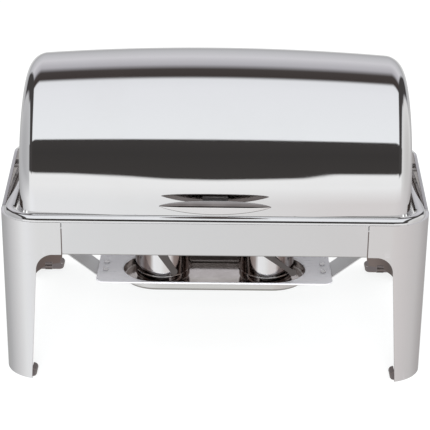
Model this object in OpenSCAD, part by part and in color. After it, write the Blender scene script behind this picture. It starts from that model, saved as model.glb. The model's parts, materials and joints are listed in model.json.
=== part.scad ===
// Roll-top chafing dish for one full-size (1/1) gastronorm food pan.
// Origin: on the floor, at the centre of the footprint.  X runs across the width,
// -Y is the front with the lid handle, +Z is up.  All lengths are in millimetres.

/* [Frame] */
// Outer width across the side panels
frame_w = 650; // [650:1:660]
// Outer depth across the front and rear aprons
frame_d = 445; // [442:1:460]
// Outer radius of the corner bend of each leg
corner_r = 60; // [56:1:62]
// Height of the top plate above the floor
rim_z = 262; // [261:1:270]
// Height of the aprons between the legs
apron_h = 52; // [48:1:54]
// Thickness of the frame's sheet steel
sheet = 1.2; // [1:0.1:1.5]
// Distance from the centre line to each seam between leg and apron
seam_x = 228; // [226:1:236]

/* [Legs] */
// Distance from the centre line to a leg's inner edge at the arch
leg_top_x = 268; // [266:1:272]
// Distance from the centre line to a leg's inner edge at the floor
leg_foot_x = 281; // [276:1:284]
// Radius of the arch between leg and apron
arch_r = 26; // [26:1:30]

/* [Lid] */
// Outer radius of the lid at mid-width
lid_r = 190; // [189:0.5:192]
// How much smaller the lid's radius is at its ends than at mid-width
lid_crown = 12; // [10:0.5:12]
// Width of the lid over its end walls
lid_w = 596; // [594:1:597]
// Radius of the bend between the lid's shell and its end walls
lid_edge_r = 30; // [26:1:32]
// Height of the hinge axis above the top plate
pivot_rise = 12; // [12:0.5:14]
// How far the lid's edge dips below the level of the hinge axis, in degrees
lid_dip = 4; // [3:0.5:4.5]
// How far the lid rolls open, in degrees
lid_open = 90; // [80:1:90]

/* [Pans] */
// Length of the food pan over its flange
food_l = 530; // [528:1:532]
// Width of the food pan over its flange
food_w = 325; // [323:1:325]
// Depth of the food pan
food_d = 65; // [40:1:66]
// Depth of the water pan
water_d = 78; // [74:1:80]

/* [Burners] */
// Distance from the centre line to the middle of each fuel holder
burner_x = 84; // [80:1:90]
// Outer radius of a fuel holder
holder_r = 45; // [42:0.5:46]
// Height of a fuel holder
holder_h = 60; // [54:1:61]
// Height of the shelf plate above the floor
shelf_z = 113; // [112:1:114]

/* [Hidden] */

// Fineness of curves: small parts, middling bends, and very large arcs
$fn = 64;
bend_fn = 96;
arc_fn = 1440;

// Plan of the frame: a rectangle with corner bends
half_w = frame_w / 2;
half_d = frame_d / 2;
corner_y = half_d - corner_r;
inner_x = half_w - sheet;
inner_y = half_d - sheet;

// Lid and hinge
pivot_z = rim_z + pivot_rise;
lid_half = lid_w / 2;
lid_sheet = 1.2;
crown_r = (pow(lid_half, 2) + pow(lid_crown, 2)) / (2 * lid_crown);
crown_c = crown_r - lid_r;
edge_y = lid_half - lid_edge_r;
edge_x = sqrt(pow(crown_r - lid_edge_r, 2) - pow(edge_y, 2)) - crown_c;
bolt_r = 4;
bolt_fit = 0.05;
wing_r = 24;
wing_fold = 4.4;
spacer_r = 6.6;
hinge_t = 2.5;
hinge_in = lid_half - lid_sheet - hinge_t - 0.02;

// Handle: the grip, and the two screws that hold it
grip_l = 166;
grip_d = 11;
grip_end_d = 5;
grip_t = 19.5;
grip_slope = 5.5;
grip_top = pivot_z + 21;
grip_front = -lid_r - 30;
handle_screw_x = 12;
handle_z = grip_top - 10;

// Beaded ring round the opening for the lid
ring_half_w = inner_x - wing_fold - 0.2;
ring_half_d = half_d - 1.5;
ring_r = corner_r - 6;
bead_r = 8.8;
ring_drop = 6;
opening_half = lid_half + 2.6;
opening_r = 30;
opening_gap = 3;

// Strips and studs behind the seams
strip_t = 1.5;
seam_stud_x = [seam_x - 9, seam_x + 9];
seam_stud_z = [rim_z - apron_h + 13, rim_z - 16];

// Rails that carry the water pan
rail_top = rim_z + 2;
rail_t = 1.5;
rail_h = 16;
rail_x = 291.5;
rail_y = 166;
rail_end = 156;
ledge_w = 14;
ear_r = 13;
front_ledge_z = rim_z - 8;

// Pans
pan_t = 1.2;
water_half_l = food_l / 2 - 8;
water_half_w = food_w / 2 - 8;
water_rim_l = 283;
food_z = rail_top + pan_t;
food_t = 1.2;

// Shelf and burners
shelf_y = -45;
shelf_half_l = 190;
shelf_half_w = 61;
shelf_corner_r = 16;
shelf_t = 1.5;
well_half_l = 148;
well_half_w = 56;
well_d = 15;
holder_z = shelf_z - well_d;
holder_t = 1.2;
cover_gap = 0.3;
cover_z = holder_z + holder_h + cover_gap;
cover_t = 1.5;
pin_y = holder_r + 4;
pin_r = 2.5;
hanger_w = 56;
hanger_y = -74;
hanger_screw_y = [-60, -30];
hanger_screw_z = 233;
hanger_t = 1.5;
hanger_low_z = 224;
rivet_x = shelf_half_l - 13;

steel = "#c9ccd0";
steel_dark = "#9a9da2";
steel_warm = "#d8d5cf";
rubber = "#2b2b2d";
nylon = "#e8e6df";

// ---------- shared shapes ----------

// Distance from mid-depth to the corner centres of a plan with bowed front and rear
function plan_corner_y(front, bow_r, half, r) =
    sqrt(pow(bow_r - r, 2) - pow(half - r, 2)) - bow_r + front;

// Plan with bowed front and rear, all its arcs tangent to each other
module bowed_plan(front, bow_r, half, r) {
    cy = plan_corner_y(front, bow_r, half, r);
    cx = half - r;
    tangent_x = cx * bow_r / (bow_r - r);
    square([2 * half, 2 * cy], center = true);
    intersection() {
        translate([0, bow_r - front]) circle(bow_r, $fn = arc_fn);
        translate([0, front - bow_r]) circle(bow_r, $fn = arc_fn);
        square([2 * tangent_x, 2 * front + 2], center = true);
    }
    for (sx = [-1, 1], sy = [-1, 1]) translate([sx * cx, sy * cy]) circle(r, $fn = bend_fn);
}

// Opening for the lid, moved outwards by a margin
module lid_opening(margin) {
    gap = opening_gap + margin;
    bowed_plan(lid_r + gap, crown_r + gap, opening_half + margin, opening_r + margin);
}

// Outline of the frame, moved inwards by an inset
module frame_plan(inset) {
    round_rect(half_w - inset, half_d - inset, corner_r - inset);
}

// Wall between two insets of the frame's outline
module frame_wall(outer, inner) {
    difference() {
        frame_plan(outer);
        frame_plan(inner);
    }
}

// Rectangle with rounded corners
module round_rect(half_a, half_b, r) {
    square([2 * half_a, 2 * (half_b - r)], center = true);
    square([2 * (half_a - r), 2 * half_b], center = true);
    for (sx = [-1, 1], sy = [-1, 1]) {
        translate([sx * (half_a - r), sy * (half_b - r)]) circle(r, $fn = bend_fn);
    }
}

// Extrusion of an (x, z) outline along Y, from y0 over a given length
module along_y(y0, length) {
    translate([0, y0 + length, 0]) rotate([90, 0, 0]) linear_extrude(length) children();
}

// Extrusion of a (y, z) outline along X, from x0 over a given length
module along_x(x0, length) {
    translate([x0, 0, 0]) rotate([90, 0, 90]) linear_extrude(length) children();
}

// Cylinder along X through the point (y, z)
module rod_x(x0, length, y, z, r) {
    translate([x0, y, z]) rotate([0, 90, 0]) cylinder(h = length, r = r);
}

// Hexagonal nut along X with a bore
module nut_x(x0, length, y, z, across, bore) {
    difference() {
        translate([x0, y, z]) rotate([0, 90, 0]) cylinder(h = length, r = across / sqrt(3), $fn = 6);
        rod_x(x0 - 1, length + 2, y, z, bore);
    }
}

// Tub with rounded plan corners and a rounded bottom edge, open end at z = height
module tub(half_a, half_b, height, r, edge) {
    module corner_profile() {
        translate([0, edge]) square([r, height - edge]);
        square([r - edge, height]);
        intersection() {
            translate([r - edge, edge]) circle(edge);
            square([r, height]);
        }
    }
    module cross_profile(half) {
        translate([-half, edge]) square([2 * half, height - edge]);
        translate([edge - half, 0]) square([2 * (half - edge), height]);
        for (s = [-1, 1]) translate([s * (half - edge), edge]) circle(edge);
    }
    along_x(r - half_a, 2 * (half_a - r)) cross_profile(half_b);
    along_y(r - half_b, 2 * (half_b - r)) cross_profile(half_a);
    for (sx = [0, 1], sy = [0, 1]) mirror([sx, 0, 0]) mirror([0, sy, 0]) {
        translate([half_a - r, half_b - r, 0]) rotate_extrude(angle = 90) corner_profile();
    }
}

// ---------- frame ----------

// Opening under the apron beside the front-right leg, as an (x, z) outline
module arch_outline() {
    arch_x = leg_top_x - arch_r;
    arch_z = rim_z - apron_h - arch_r;
    polygon([[leg_foot_x, -1], [leg_top_x, arch_z], [0, arch_z], [0, -1]]);
    square([arch_x, arch_z + arch_r]);
    intersection() {
        translate([arch_x, arch_z]) circle(arch_r);
        translate([0, arch_z - 1]) square([leg_top_x, arch_r + 2]);
    }
}

// One leg, built as the front-right one
module leg() {
    seam_gap = 1.2;
    leg_side_y = corner_y - 5;
    difference() {
        linear_extrude(rim_z) intersection() {
            frame_wall(0, sheet);
            translate([seam_x + seam_gap, -half_d - 1]) square([half_w, half_d + 1 - leg_side_y]);
        }
        along_y(-half_d - 1, half_d) arch_outline();
    }
}

module front_right_leg() {
    color(steel) leg();
}

module front_left_leg() {
    color(steel) mirror([1, 0, 0]) leg();
}

module rear_right_leg() {
    color(steel) mirror([0, 1, 0]) leg();
}

module rear_left_leg() {
    color(steel) mirror([1, 0, 0]) mirror([0, 1, 0]) leg();
}

// Foot plate inside a leg, with two free edges curled up, built as the front-right one
module foot_plate() {
    plate_t = 1.5;
    curl_r = 7;
    plate_y = 193;
    linear_extrude(plate_t) intersection() {
        frame_plan(sheet);
        translate([leg_foot_x, -half_d]) square([half_w - leg_foot_x, half_d - plate_y]);
    }
    module curl() {
        difference() {
            translate([0, curl_r]) circle(curl_r);
            translate([0, curl_r]) circle(curl_r - plate_t);
            translate([0, -1]) square([2 * curl_r, 2 * curl_r + 2]);
        }
    }
    translate([leg_foot_x, 0, 0]) along_y(-214, 20) curl();
    translate([0, -plate_y, 0]) along_x(295, 12.5) mirror([1, 0, 0]) curl();
}

module foot_plates() {
    color(steel_dark) for (sx = [0, 1], sy = [0, 1]) mirror([sx, 0, 0]) mirror([0, sy, 0]) foot_plate();
}

// Apron between two legs, with its lower edge folded in, built as the front one
module apron() {
    fold = 9;
    module between_seams(outer, inner) {
        intersection() {
            frame_wall(outer, inner);
            translate([-seam_x, -half_d - 1]) square([2 * seam_x, half_d]);
        }
    }
    translate([0, 0, rim_z - apron_h]) linear_extrude(apron_h) between_seams(0, sheet);
    translate([0, 0, rim_z - apron_h]) linear_extrude(sheet) between_seams(sheet, fold);
}

module front_apron() {
    color(steel) apron();
}

module rear_apron() {
    color(steel) mirror([0, 1, 0]) apron();
}

// Raised part of a side panel: straight slopes rising to a round top about the hinge axis
module wing_outline(top_r) {
    reach = sqrt(pow(corner_y, 2) + pow(pivot_rise, 2));
    slope = atan(pivot_rise / corner_y) + asin(wing_r / reach);
    end_y = corner_y - 5;
    end_z = pivot_z + top_r / cos(slope) - end_y * tan(slope);
    polygon([
        [-end_y, rim_z - 4], [-end_y, end_z],
        [-top_r * sin(slope), pivot_z + top_r * cos(slope)],
        [top_r * sin(slope), pivot_z + top_r * cos(slope)],
        [end_y, end_z], [end_y, rim_z - 4]
    ]);
    translate([0, pivot_z]) circle(top_r);
}

// Side panel with the hinge wing, built as the right one
module side_panel() {
    end_y = corner_y - 5;
    low_z = rim_z - apron_h - arch_r;
    difference() {
        union() {
            along_x(inner_x, sheet) {
                wing_outline(wing_r);
                translate([-end_y, low_z]) square([2 * end_y, rim_z - low_z]);
            }
            along_x(inner_x - wing_fold, wing_fold) difference() {
                wing_outline(wing_r);
                wing_outline(wing_r - sheet);
                translate([-half_w, 0]) square([2 * half_w, rim_z + 1.5]);
            }
        }
        along_x(inner_x - 1, sheet + 2) {
            translate([arch_r - end_y, low_z - 1]) square([2 * (end_y - arch_r), arch_r + 1]);
            for (s = [-1, 1]) translate([s * (end_y - arch_r), low_z]) circle(arch_r);
        }
        rod_x(inner_x - 1, sheet + 2, 0, pivot_z, bolt_r + bolt_fit);
    }
}

module right_side_panel() {
    color(steel) side_panel();
}

module left_side_panel() {
    color(steel) mirror([1, 0, 0]) side_panel();
}

// Flat top plate between the frame's walls and the beaded ring
module top_plate() {
    color(steel) translate([0, 0, rim_z - sheet]) linear_extrude(sheet) difference() {
        frame_plan(sheet);
        round_rect(ring_half_w - bead_r, ring_half_d - bead_r, ring_r - bead_r);
    }
}

// Section of the ring: half-round bead with its centre at the origin, and a wall down its inner side
module ring_section() {
    difference() {
        circle(bead_r);
        circle(bead_r - sheet);
        translate([-bead_r - 1, -bead_r - 1]) square([2 * bead_r + 2, bead_r + 1]);
    }
    translate([-bead_r, -ring_drop]) square([sheet, ring_drop]);
}

// Ring round the opening: the bead stands on the top plate and is notched for the
// hinge spacers, its inner plate lies lower
module lid_ring() {
    edge_cx = ring_half_w - ring_r;
    edge_cy = ring_half_d - ring_r;
    wall = 2 * bead_r - sheet;
    color(steel) translate([0, 0, rim_z]) {
        translate([0, 0, -ring_drop]) linear_extrude(sheet) difference() {
            round_rect(ring_half_w - wall, ring_half_d - wall, ring_r - wall);
            lid_opening(0);
        }
        for (s = [0, 1]) mirror([s, 0, 0]) difference() {
            translate([ring_half_w - bead_r, 0, 0]) along_y(-edge_cy, 2 * edge_cy) ring_section();
            rod_x(ring_half_w - 2 * bead_r - 1, 2 * bead_r + 2, 0, pivot_rise, spacer_r + 0.6);
        }
        for (s = [0, 1]) mirror([0, s, 0]) translate([0, ring_half_d - bead_r, 0])
            along_x(-edge_cx, 2 * edge_cx) ring_section();
        for (sx = [0, 1], sy = [0, 1]) mirror([sx, 0, 0]) mirror([0, sy, 0]) {
            translate([edge_cx, edge_cy, 0]) rotate_extrude(angle = 90, $fn = bend_fn)
                translate([ring_r - bead_r, 0]) ring_section();
        }
    }
}

// Strips that bridge the four seams from inside
module seam_plates() {
    strip_half = 17;
    strip_z = rim_z - apron_h + 4;
    strip_h = apron_h - 15;
    color(steel_dark) for (sx = [0, 1], sy = [0, 1]) mirror([sx, 0, 0]) mirror([0, sy, 0]) difference() {
        translate([seam_x - strip_half, -inner_y, strip_z]) cube([2 * strip_half, strip_t, strip_h]);
        seam_stud_shanks(pin_r + bolt_fit);
    }
}

// Shanks of the studs at the front-right seam
module seam_stud_shanks(r) {
    for (x = seam_stud_x, z = seam_stud_z) {
        translate([x, -inner_y, z]) rotate([-90, 0, 0]) cylinder(h = strip_t + 6, r = r);
    }
}

// Studs welded inside the legs and aprons, each with its nut
module seam_studs() {
    color(steel_dark) for (sx = [0, 1], sy = [0, 1]) mirror([sx, 0, 0]) mirror([0, sy, 0]) {
        seam_stud_shanks(pin_r);
        for (x = seam_stud_x, z = seam_stud_z) {
            translate([x, strip_t - inner_y, z]) rotate([-90, 0, 0]) cylinder(h = 4, r = 4.6, $fn = 6);
        }
    }
}

// ---------- pan rails ----------

// Side rail: a ledge for the pan, an ear on the hinge bolt and a tab for the shelf's hanger
module pan_rail() {
    difference() {
        union() {
            along_x(rail_x - rail_t, rail_t) {
                translate([-rail_end, rail_top - rail_h]) square([2 * rail_end, rail_h]);
                translate([-ear_r, rail_top - rail_h]) square([2 * ear_r, pivot_z - rail_top + rail_h]);
                translate([0, pivot_z]) circle(ear_r);
                translate([hanger_y, hanger_low_z]) square([hanger_w, rail_top - rail_h - hanger_low_z + 1]);
            }
            translate([rail_x - ledge_w, -rail_end, rail_top - rail_t])
                cube([ledge_w, 2 * rail_end, rail_t]);
        }
        rod_x(rail_x - rail_t - 1, rail_t + 2, 0, pivot_z, bolt_r + bolt_fit);
        for (y = hanger_screw_y) rod_x(rail_x - rail_t - 1, rail_t + 2, y, hanger_screw_z, pin_r + bolt_fit);
    }
}

module right_pan_rail() {
    color(steel_dark) pan_rail();
}

module left_pan_rail() {
    color(steel_dark) mirror([1, 0, 0]) pan_rail();
}

// Cross rail that joins the ends of the two side rails, built as the front one
module cross_rail() {
    cross_half = 285;
    translate([-cross_half, -rail_y, rail_top - rail_h]) cube([2 * cross_half, rail_t, rail_h]);
    translate([-cross_half, -rail_y, rail_top - rail_t]) cube([2 * cross_half, rail_y - rail_end, rail_t]);
}

module front_pan_rail() {
    color(steel_dark) cross_rail();
}

module rear_pan_rail() {
    color(steel_dark) mirror([0, 1, 0]) cross_rail();
}

// Ledge under the lid's front edge, from the frame's walls to the rails, and an arm along
// each side that is tack-welded to the side panel
module front_ledge() {
    arm_end = 40;
    arm_x = rail_x + 1.5;
    weld_gap = 0.2;
    color(steel_dark) translate([0, 0, front_ledge_z - rail_t]) linear_extrude(rail_t) intersection() {
        frame_plan(sheet);
        union() {
            translate([-half_w, -half_d]) square([frame_w, half_d - rail_y]);
            for (s = [0, 1]) mirror([s, 0]) translate([arm_x, weld_gap - rail_y])
                square([half_w - arm_x, rail_y - weld_gap - arm_end]);
        }
    }
}

// Rubber pads on the front ledge that the closed lid comes down to
module lid_buffers() {
    edge_z = pivot_z - lid_r * sin(lid_dip);
    color(rubber) for (s = [-1, 1]) {
        translate([s * 120, 3.6 - lid_r, front_ledge_z]) cylinder(h = edge_z - front_ledge_z - 0.4, r = 4);
    }
}

// ---------- lid hinge ----------

// Shoulder bolt from outside the wing to the rail's ear, built as the right one
module pivot_bolt() {
    head_r = 11;
    head_t = 4;
    round_r = 3;
    rod_x(rail_x - 6.5, half_w - rail_x + 6.5, 0, pivot_z, bolt_r);
    translate([half_w, 0, pivot_z]) rotate([0, 90, 0]) rotate_extrude() {
        square([head_r, head_t - round_r]);
        square([head_r - round_r, head_t]);
        intersection() {
            translate([head_r - round_r, head_t - round_r]) circle(round_r);
            square([head_r, head_t]);
        }
    }
}

module right_pivot_bolt() {
    color(steel) pivot_bolt();
}

module left_pivot_bolt() {
    color(steel) mirror([1, 0, 0]) pivot_bolt();
}

// Ring along X about the hinge axis, on both sides
module hinge_rings(x0, x1, r) {
    for (s = [0, 1]) mirror([s, 0, 0]) difference() {
        rod_x(x0, x1 - x0, 0, pivot_z, r);
        rod_x(x0 - 1, x1 - x0 + 2, 0, pivot_z, bolt_r + bolt_fit);
    }
}

module pivot_spacers() {
    color(steel_dark) hinge_rings(lid_half + 0.4, inner_x, spacer_r);
}

module pivot_washers() {
    color(nylon) hinge_rings(rail_x, hinge_in - 0.2, 8.5);
}

module pivot_nuts() {
    color(steel_dark) for (s = [0, 1]) mirror([s, 0, 0]) {
        nut_x(rail_x - rail_t - 4.4, 4.4, 0, pivot_z, 13, bolt_r + bolt_fit);
    }
}

// Pins that the lid's end walls meet when the lid is fully open
module lid_stops() {
    stop_r = 4;
    reach = 60;
    turn = lid_open + 180 + lid_dip + asin((stop_r + 0.5) / reach);
    color(steel_dark) for (s = [0, 1]) mirror([s, 0, 0]) {
        rod_x(lid_half - 3, inner_x - lid_half + 3, -reach * cos(turn), pivot_z + reach * sin(turn), stop_r);
    }
}

// ---------- fuel shelf ----------

// Obround outline of the shelf's well
module well_outline(inset) {
    straight = well_half_l - well_half_w;
    square([2 * straight, 2 * (well_half_w - inset)], center = true);
    for (s = [-1, 1]) translate([s * straight, 0]) circle(well_half_w - inset, $fn = bend_fn);
}

module fuel_shelf() {
    hem = 3;
    color(steel_warm) translate([0, shelf_y, 0]) difference() {
        union() {
            translate([0, 0, shelf_z - shelf_t]) linear_extrude(shelf_t)
                round_rect(shelf_half_l, shelf_half_w, shelf_corner_r);
            translate([0, 0, holder_z - shelf_t]) linear_extrude(well_d) well_outline(0);
            for (s = [0, 1]) mirror([0, s, 0]) {
                translate([shelf_corner_r - shelf_half_l, -shelf_half_w, shelf_z - hem])
                    cube([2 * (shelf_half_l - shelf_corner_r), shelf_t, hem]);
            }
        }
        translate([0, 0, holder_z]) linear_extrude(well_d + 1) well_outline(shelf_t);
        for (s = [-1, 1], y = hanger_screw_y) {
            translate([s * rivet_x, y - shelf_y, shelf_z - 10]) cylinder(h = 20, r = pin_r + bolt_fit);
        }
    }
}

// Bent strap from the pan rail down to the shelf, built as the right one
module shelf_hanger() {
    low_x = shelf_half_l + 1;
    low_z = shelf_z - shelf_t;
    bend_x = rail_x - rail_t;
    slope = 38;
    bend_z = low_z - hanger_t + (bend_x - low_x) * tan(slope);
    tab = 27;
    difference() {
        along_y(hanger_y, hanger_w) polygon([
            [low_x - tab, low_z - hanger_t], [low_x, low_z - hanger_t],
            [bend_x, bend_z], [bend_x, hanger_low_z + 18], [bend_x - hanger_t, hanger_low_z + 18],
            [bend_x - hanger_t, bend_z + hanger_t * tan(45 - slope / 2)],
            [low_x - hanger_t * tan(slope / 2), low_z], [low_x - tab, low_z]
        ]);
        for (y = hanger_screw_y) {
            rod_x(bend_x - hanger_t - 1, hanger_t + 2, y, hanger_screw_z, pin_r + bolt_fit);
            translate([rivet_x, y, shelf_z - 10]) cylinder(h = 20, r = pin_r + bolt_fit);
        }
    }
}

module right_shelf_hanger() {
    color(steel_dark) shelf_hanger();
}

module left_shelf_hanger() {
    color(steel_dark) mirror([1, 0, 0]) shelf_hanger();
}

// Screws through the rails' tabs into the hangers, heads outside
module hanger_screws() {
    head_r = 4.5;
    head_t = 1.8;
    color(steel) for (s = [0, 1], y = hanger_screw_y) mirror([s, 0, 0]) {
        rod_x(rail_x - rail_t - hanger_t - 5, rail_t + hanger_t + 5, y, hanger_screw_z, pin_r);
        rod_x(rail_x, head_t, y, hanger_screw_z, head_r);
    }
}

module hanger_nuts() {
    color(steel_dark) for (s = [0, 1], y = hanger_screw_y) mirror([s, 0, 0]) {
        nut_x(rail_x - rail_t - hanger_t - 4, 4, y, hanger_screw_z, 8, pin_r + bolt_fit);
    }
}

// Rivets that hold the shelf to its hangers
module shelf_rivets() {
    low_z = shelf_z - shelf_t - hanger_t;
    color(steel) for (s = [-1, 1], y = hanger_screw_y) translate([s * rivet_x, y, 0]) {
        translate([0, 0, low_z - 1]) cylinder(h = shelf_t + hanger_t + 2, r = pin_r);
        translate([0, 0, shelf_z]) cylinder(h = 1.6, r = 4.5);
        translate([0, 0, low_z - 1.6]) cylinder(h = 1.6, r = 4.5);
    }
}

// ---------- lid ----------

// Half profile of the lid as (radius, distance along the axis), moved inwards by an inset
module lid_profile(inset) {
    tangent_y = edge_y * (crown_r - inset) / (crown_r - lid_edge_r);
    intersection() {
        translate([-crown_c, 0]) circle(crown_r - inset, $fn = 2 * arc_fn);
        translate([0, -tangent_y]) square([lid_r, 2 * tangent_y]);
    }
    translate([0, inset - lid_half]) square([edge_x, lid_w - 2 * inset]);
    for (s = [-1, 1]) translate([edge_x, s * edge_y]) circle(lid_edge_r - inset, $fn = bend_fn);
}

// Turned shape about the hinge axis, over an angle that starts at the lid's front edge
module about_axis(angle) {
    translate([0, 0, pivot_z]) rotate([lid_dip, 0, 0]) rotate([0, 90, 0])
        rotate([0, 0, 270 - angle]) rotate_extrude(angle = angle, $fn = 256) children();
}

module lid_shell() {
    color(steel) difference() {
        about_axis(180 + 2 * lid_dip) difference() {
            lid_profile(0);
            lid_profile(lid_sheet);
        }
        for (s = [0, 1]) mirror([s, 0, 0]) {
            rod_x(lid_half - 10, 20, 0, pivot_z, 6.2);
            hinge_rivet_shanks(2 + bolt_fit);
        }
        handle_screw_shanks(pin_r + bolt_fit);
    }
}

// Rivet shanks of the right hinge plate
module hinge_rivet_shanks(r) {
    for (y = [-11, 11], z = [18, 32]) rod_x(hinge_in - 0.5, hinge_t + lid_sheet + 1, y, pivot_z + z, r);
}

// Plate with the hinge bore, inside an end wall, built as the right one
module hinge_plate() {
    plate_r = 14;
    difference() {
        along_x(hinge_in, hinge_t) {
            translate([0, pivot_z]) circle(plate_r);
            translate([-plate_r, pivot_z]) square([2 * plate_r, 14]);
            translate([0, pivot_z + 25]) round_rect(19, 15, 5);
        }
        rod_x(hinge_in - 1, hinge_t + 2, 0, pivot_z, bolt_r + bolt_fit);
        hinge_rivet_shanks(2 + bolt_fit);
    }
}

module right_hinge_plate() {
    color(steel_dark) hinge_plate();
}

module left_hinge_plate() {
    color(steel_dark) mirror([1, 0, 0]) hinge_plate();
}

module hinge_plate_rivets() {
    color(steel) for (s = [0, 1]) mirror([s, 0, 0]) {
        hinge_rivet_shanks(2);
        for (y = [-11, 11], z = [18, 32]) {
            rod_x(lid_half, 1.4, y, pivot_z + z, 3.6);
            rod_x(hinge_in - 1.2, 1.2, y, pivot_z + z, 3.6);
        }
    }
}

// Plan circle whose arc is the grip's rear edge
module grip_back() {
    back_sag = grip_d - grip_end_d;
    back_r = (pow(grip_l / 2, 2) + pow(back_sag, 2)) / (2 * back_sag);
    translate([0, grip_front + grip_d - back_r]) circle(back_r, $fn = 360);
}

// Leaf-shaped grip: straight front edge, bowed rear edge, sloped top and arched underside
module lid_handle() {
    grip_end_t = 9;
    low_sag = grip_t - grip_end_t;
    low_r = (pow(grip_l / 2, 2) + pow(low_sag, 2)) / (2 * low_sag);
    low_z = grip_top - grip_t;
    color(steel) difference() {
        intersection() {
            translate([0, 0, low_z]) linear_extrude(grip_t) intersection() {
                grip_back();
                translate([-grip_l / 2, grip_front]) square([grip_l, grip_d]);
            }
            along_y(grip_front - 1, grip_d + 2) intersection() {
                translate([0, low_z + low_r]) circle(low_r, $fn = 360);
                translate([-grip_l / 2, low_z]) square([grip_l, grip_t]);
            }
            along_x(-grip_l / 2, grip_l) polygon([
                [grip_front, low_z], [grip_front, grip_top - grip_slope],
                [grip_front + grip_d, grip_top], [grip_front + grip_d, low_z]
            ]);
        }
        handle_screw_shanks(pin_r + bolt_fit);
    }
}

// Shanks of the two screws that hold the grip
module handle_screw_shanks(r) {
    for (s = [-1, 1]) translate([s * handle_screw_x, grip_front + 4, handle_z]) rotate([-90, 0, 0])
        cylinder(h = 34, r = r);
}

// Block between the lid and the grip, hollowed to the curves of both
module handle_mount() {
    mount_half = 19;
    mount_h = 12;
    color(steel) difference() {
        translate([-mount_half, grip_front + grip_d - 2, handle_z - mount_h / 2])
            cube([2 * mount_half, 25, mount_h]);
        translate([0, 0, handle_z - mount_h]) linear_extrude(2 * mount_h) grip_back();
        rod_x(-mount_half - 1, 2 * mount_half + 2, 0, pivot_z, lid_r);
        handle_screw_shanks(pin_r + bolt_fit);
    }
}

// Screws from inside the lid, through the mount, into the grip
module handle_screws() {
    head_y = -lid_r + lid_sheet + 1;
    color(steel_dark) for (s = [-1, 1]) translate([s * handle_screw_x, 0, handle_z]) rotate([-90, 0, 0]) {
        translate([0, 0, grip_front + 4.5]) cylinder(h = head_y - grip_front - 4, r = pin_r);
        translate([0, 0, head_y]) cylinder(h = 2.4, r = 5);
    }
}

// ---------- pans ----------

module water_pan() {
    lip_h = 3;
    body_r = 26;
    rim_r = 32;
    edge_r = 12;
    rim_half_w = rail_y - 1;
    color(steel_warm) difference() {
        union() {
            translate([0, 0, rail_top]) linear_extrude(pan_t) round_rect(water_rim_l, rim_half_w, rim_r);
            translate([0, 0, rail_top + pan_t]) linear_extrude(lip_h) difference() {
                round_rect(water_rim_l, rim_half_w, rim_r);
                round_rect(water_rim_l - pan_t, rim_half_w - pan_t, rim_r - pan_t);
            }
            translate([0, 0, rail_top + pan_t - water_d])
                tub(water_half_l, water_half_w, water_d, body_r, edge_r);
        }
        translate([0, 0, rail_top + 2 * pan_t - water_d])
            tub(water_half_l - pan_t, water_half_w - pan_t, water_d, body_r - pan_t, edge_r - pan_t);
    }
}

module food_pan() {
    body_half_l = food_l / 2 - 12.5;
    body_half_w = food_w / 2 - 12.5;
    body_r = 24;
    edge_r = 12;
    color(steel) difference() {
        union() {
            translate([0, 0, food_z]) linear_extrude(food_t) round_rect(food_l / 2, food_w / 2, 26);
            translate([0, 0, food_z + food_t - food_d])
                tub(body_half_l, body_half_w, food_d, body_r, edge_r);
        }
        translate([0, 0, food_z + 2 * food_t - food_d])
            tub(body_half_l - food_t, body_half_w - food_t, food_d, body_r - food_t, edge_r - food_t);
    }
}

// ---------- burners ----------

// Cup for a tin of fuel, with a step round it and a lug for the snuffer's pin
module fuel_holder() {
    step_z = 18;
    foot_r = 6;
    low_r = holder_r - 1;
    bore_r = holder_r - 2.2;
    lug_r = 5.5;
    lug_h = 14;
    lug_z = holder_h - lug_h;
    translate([0, 0, holder_z]) difference() {
        union() {
            rotate_extrude() {
                translate([0, foot_r]) square([low_r, step_z - foot_r + 1]);
                square([low_r - foot_r, step_z]);
                translate([0, step_z]) square([holder_r, holder_h - step_z]);
                intersection() {
                    translate([low_r - foot_r, foot_r]) circle(foot_r);
                    translate([low_r - foot_r, 0]) square(foot_r);
                }
            }
            translate([0, pin_y, lug_z]) cylinder(h = lug_h, r = lug_r);
        }
        translate([0, 0, foot_r]) cylinder(h = holder_h, r = bore_r);
        translate([0, 0, holder_t]) cylinder(h = holder_h, r = bore_r - foot_r);
        translate([0, pin_y, lug_z + 2]) cylinder(h = lug_h, r = pin_r + bolt_fit);
    }
}

module at_burner(side) {
    translate([side * burner_x, shelf_y, 0]) children();
}

module left_fuel_holder() {
    color(steel) at_burner(-1) fuel_holder();
}

module right_fuel_holder() {
    color(steel) at_burner(1) fuel_holder();
}

// Pin that the snuffer cover turns on, with a flat head over the cover
module snuffer_pin() {
    pin_low = holder_z + holder_h - 12;
    translate([0, pin_y, pin_low]) cylinder(h = cover_z + cover_t + 0.2 - pin_low, r = pin_r);
    translate([0, pin_y, cover_z + cover_t + 0.2]) cylinder(h = 1.6, r = 4.2);
}

module left_snuffer_pin() {
    color(steel_dark) at_burner(-1) snuffer_pin();
}

module right_snuffer_pin() {
    color(steel_dark) at_burner(1) snuffer_pin();
}

// Flat round cover with an ear on the pin
module snuffer_cover() {
    translate([0, 0, cover_z]) difference() {
        union() {
            cylinder(h = cover_t, r = holder_r + 0.5);
            translate([-6, 0, 0]) cube([12, pin_y, cover_t]);
            translate([0, pin_y, 0]) cylinder(h = cover_t, r = 6);
        }
        translate([0, pin_y, -1]) cylinder(h = cover_t + 2, r = pin_r + bolt_fit);
    }
}

module left_snuffer_cover() {
    color(steel) at_burner(-1) snuffer_cover();
}

module right_snuffer_cover() {
    color(steel) at_burner(1) snuffer_cover();
}

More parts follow.
